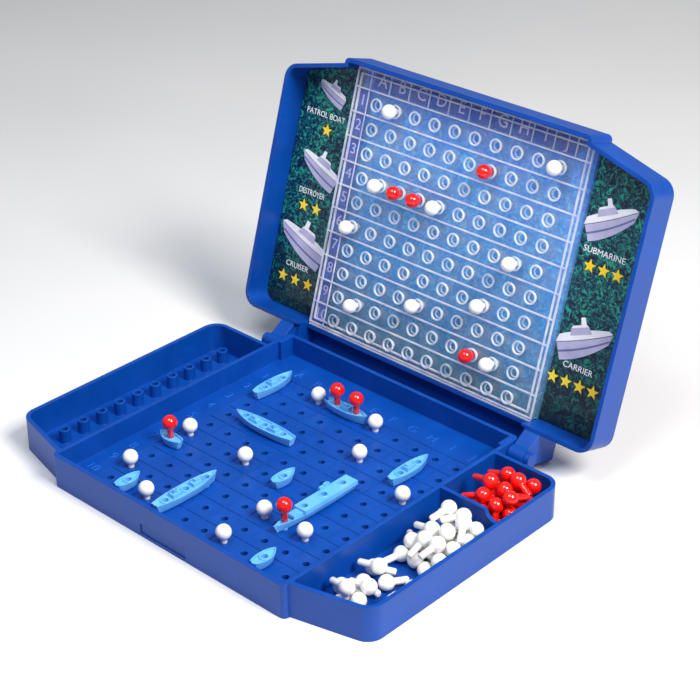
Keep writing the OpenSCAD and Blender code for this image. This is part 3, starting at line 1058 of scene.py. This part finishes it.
def curve_between(start, end, bulge, steps=8):
    """Points from start to end along a parabola that stands off by bulge in the middle."""
    points = []
    for k in range(steps + 1):
        t = k / steps
        x = start[0] + (end[0] - start[0]) * t
        y = start[1] + (end[1] - start[1]) * t + 4 * bulge * t * (1 - t)
        points.append((x, y))
    return points


# %% [markdown]
# The card shows five small ships in white and lavender, a plain name under each, and a row of
# stars that counts the ship's cells. The ships on the left of the card are mirrored, so that
# every bow points outwards.

# %% Print on the card
SIDE = curve_between((0.5, 0.07), (-0.44, 0.02), -0.02)
SIDE += curve_between((-0.42, -0.23), (0.40, -0.06), -0.055)
DECK_TOP = curve_between((-0.45, 0.03), (0.5, 0.08), -0.02)
DECK_TOP += curve_between((0.44, 0.13), (-0.38, 0.13), 0.03)
STRIPE = curve_between((0.42, 0.0), (-0.43, -0.09), -0.03)
STRIPE += curve_between((-0.43, -0.12), (0.42, -0.025), -0.03)
CABIN = [(-0.20, 0.10), (0.16, 0.10), (0.12, 0.20), (-0.17, 0.20)]
ROOF = [(-0.17, 0.20), (0.12, 0.20), (0.09, 0.235), (-0.14, 0.235)]
MAST = [(0.0, 0.2), (0.09, 0.2), (0.08, 0.34), (0.01, 0.34)]
LOOKS = [
    ("lavender", SIDE, 1),
    ("white", DECK_TOP, 2),
    ("slate", STRIPE, 2),
    ("lavender", CABIN, 3),
    ("white", ROOF, 3),
    ("white", MAST, 4),
]
# Place, length, turn and mirror of each ship, its cells and its name, then the place and
# width of the name and the place of the stars.
PICTURES = [
    (-86.5, 123.5, 20, -17, -1, 1, "PATROL BOAT", -88.5, 112.0, 25, -86, 105),
    (-85.5, 85.5, 28, -19, -1, 2, "DESTROYER", -88.0, 72.6, 17, -87.5, 65.5),
    (-87.5, 47.0, 34, -16, -1, 3, "CRUISER", -88.5, 34.5, 15, -88, 27.5),
    (81.5, 109.0, 30, 24, 1, 3, "SUBMARINE", 82.5, 94.5, 22, 84, 87.5),
    (82.5, 54.0, 32, 21, 1, 4, "CARRIER", 83.0, 41.5, 16, 82.2, 34.0),
]
STAR, STAR_LINE = 3.4, 0.5
STAR_PITCH = {-1: 8.6, 1: 7.3}
NAME_SIZE = {"size_mm": 4.0, "depth_mm": 0.05}
NAME_Z = (CARD_FACE + 0.18) * MM
prints = {"white": [], "lavender": [], "slate": [], "yellow": [], "black": []}
for x, y, length, turn, flip, stars, name, name_x, name_y, wide, star_x, star_y in PICTURES:
    for colour, outline, layer in LOOKS:
        if flip < 0:
            outline = outline[::-1]
        outline = placed_outline(outline, x, y, length, turn, flip)
        prints[colour].append(flat_shape(outline, layer))
    points, faces = character_shape(name, **NAME_SIZE)
    squeeze = wide * MM / np.ptp([point[0] for point in points])
    points = [(a * squeeze, b, c) for a, b, c in points]
    prints["white"].append(moved_shape((points, faces), name_x * MM, name_y * MM, NAME_Z))
    for k in range(stars):
        place = star_x + (k - (stars - 1) / 2) * STAR_PITCH[flip]
        prints["black"].append(flat_shape(star_outline(place, star_y, STAR + STAR_LINE), 1))
        prints["yellow"].append(flat_shape(star_outline(place, star_y, STAR), 2))
inks = {
    "white": ("card_print_white", ink_white),
    "lavender": ("card_print_lavender", ink_lavender),
    "slate": ("card_print_slate", ink_slate),
    "yellow": ("card_print_yellow", ink_yellow),
    "black": ("card_print_outline", ink_black),
}
for colour, shapes in prints.items():
    piece_name, ink = inks[colour]
    mesh = mesh_from(piece_name, *join_shapes(shapes))
    add_piece(piece_name, mesh, ink, "lid", LID, smooth=False)
print("card print:", {colour: len(shapes) for colour, shapes in prints.items()})

# %% [markdown]
# The letters and numbers beside the sockets line up with the panel's cells from every side,
# so they are printed on the back of the clear panel: a navy box behind each cell and a pale
# figure in front of it.

# %% Print on the back of the panel
PANEL_BACK = -15.2
HEADER_Y = HEADER_LOW + 5.2
SIDE_X = -half_w + 4.9
HEADER_BOX, SIDE_BOX = (10.2, 8.4), (7.4, 10.2)
LETTER_MM, NUMBER_MM, FIGURE_DEPTH = 8.5, 7.5, 0.05
box_lift = (PANEL_BACK - CARD_FACE - 0.3) * MM
boxes, marks = [], []
for k in range(ROWS):
    x, _ = panel_hole(k + 1, 1)
    _, y = panel_hole(1, k + 1)
    header, side = box_outline(x, HEADER_Y, *HEADER_BOX), box_outline(SIDE_X, y, *SIDE_BOX)
    for outline in (header, side):
        boxes.append(moved_shape(flat_shape(outline, 1), 0, 0, box_lift))
    letter = character_shape(LETTERS[k], LETTER_MM, FIGURE_DEPTH)
    number = character_shape(str(k + 1), NUMBER_MM, FIGURE_DEPTH)
    marks.append(moved_shape(letter, x * MM, HEADER_Y * MM))
    marks.append(moved_shape(number, SIDE_X * MM, y * MM))
box_mesh = mesh_from("panel_boxes", *join_shapes(boxes))
add_piece("panel_boxes", box_mesh, ink_navy, "lid", LID, smooth=False)
points, faces = moved_shape(join_shapes(marks), 0, 0, (PANEL_BACK - 0.04) * MM)
mark_mesh = mesh_from("panel_figures", points, faces)
add_piece("panel_figures", mark_mesh, ink_lavender, "lid", LID, smooth=False)
print(len(boxes), "boxes and", len(marks), "figures on the panel's back")

# %% [markdown]
# The table is a plain pale surface. The light is a soft lamp high on the right, which leaves
# the walls that face left and front in shade, a weak lamp above the case that lifts the lid's
# print, and a pale sky.

# %% Table and light
def pale_table():
    material, tree, shader = new_finish("pale_table", Roughness=0.6)
    place = add_node(tree, "ShaderNodeTexCoord")
    cloud = add_node(
        tree, "ShaderNodeTexNoise", {"Scale": 6.0, "Detail": 2.0}, {"Vector": place.outputs["Object"]}
    )
    ramp = add_node(tree, "ShaderNodeValToRGB", links={"Fac": cloud.outputs["Fac"]})
    set_ramp(ramp, [(0.3, "#e2e4e7"), (0.7, "#e8e9eb")])
    tree.links.new(ramp.outputs["Color"], shader.inputs["Base Color"])
    return material


HALF_TABLE = 3
table_points = [(x * HALF_TABLE, y * HALF_TABLE, 0) for x, y in ((-1, -1), (1, -1), (1, 1), (-1, 1))]
table_mesh = mesh_from("table", table_points, [(0, 1, 2, 3)])
table_mesh.materials.append(pale_table())
table = bpy.data.objects.new("table", table_mesh)
table.location.z = cad_low.z
bpy.context.scene.collection.objects.link(table)
table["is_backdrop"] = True


def soft_lamp(name, place, size, power, colour):
    """A square lamp of this size in metres and power in watts that points at the case."""
    lamp = bpy.data.lights.new(name, "AREA")
    lamp.shape, lamp.size, lamp.energy = "SQUARE", size, power
    lamp.color = linear(colour)[:3]
    holder = bpy.data.objects.new(name, lamp)
    bpy.context.scene.collection.objects.link(holder)
    holder.location = place
    holder.rotation_mode = "QUATERNION"
    holder.rotation_quaternion = (-Vector(place)).to_track_quat("-Z", "Y")


soft_lamp("key_right", (0.85, 0.0, 0.95), 0.45, 20, "#fff8ee")
soft_lamp("fill_above", (0.05, -0.2, 0.62), 0.3, 2.2, "#f4f8ff")
world = bpy.data.worlds.new("pale_sky")
bpy.context.scene.world = world
world.use_nodes = True
sky = world.node_tree.nodes["Background"]
sky.inputs["Color"].default_value = linear("#eaf0f8")
sky.inputs["Strength"].default_value = 0.32
bpy.context.scene.view_settings.view_transform = "Standard"
print("table, two lamps and a sky")

# %% [markdown]
# The camera stands where the player's right shoulder would be and looks down at the open
# case. It is aimed at the middle of what it sees: the extreme directions of the object's
# points give both the aim and the lens that fills the frame with a small margin.

# %% Camera
camera_data = bpy.data.cameras.new("camera")
camera = bpy.data.objects.new("camera", camera_data)
bpy.context.scene.collection.objects.link(camera)
bpy.context.scene.camera = camera
camera.location = (0.475, -0.503, 0.443)
camera.rotation_mode = "QUATERNION"
corners = np.array([v.co[:] for n in ("base_tray", "lid_shell") for v in nodes[n].data.vertices])
aim = Vector((0, 0, 0.06))
DISTANCE = 0.8
MARGIN = 1.08
for _ in range(4):
    camera.rotation_quaternion = (aim - camera.location).to_track_quat("-Z", "Y")
    turn = np.array(camera.rotation_quaternion.to_matrix())
    seen = (corners - np.array(camera.location)) @ turn
    across, upward = seen[:, 0] / -seen[:, 2], seen[:, 1] / -seen[:, 2]
    centre = Vector(((across.min() + across.max()) / 2, (upward.min() + upward.max()) / 2, -1))
    aim = camera.location + (camera.rotation_quaternion @ centre) * DISTANCE
half_view = max(np.ptp(across), np.ptp(upward)) / 2 * MARGIN
camera_data.sensor_width = 36
camera_data.lens = camera_data.sensor_width / 2 / half_view
camera_data.clip_start = 0.01
print("lens", round(camera_data.lens, 1), "mm")

# %% Finish
low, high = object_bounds()
print("visual box in mm:", [round(v / MM, 1) for v in high - low])
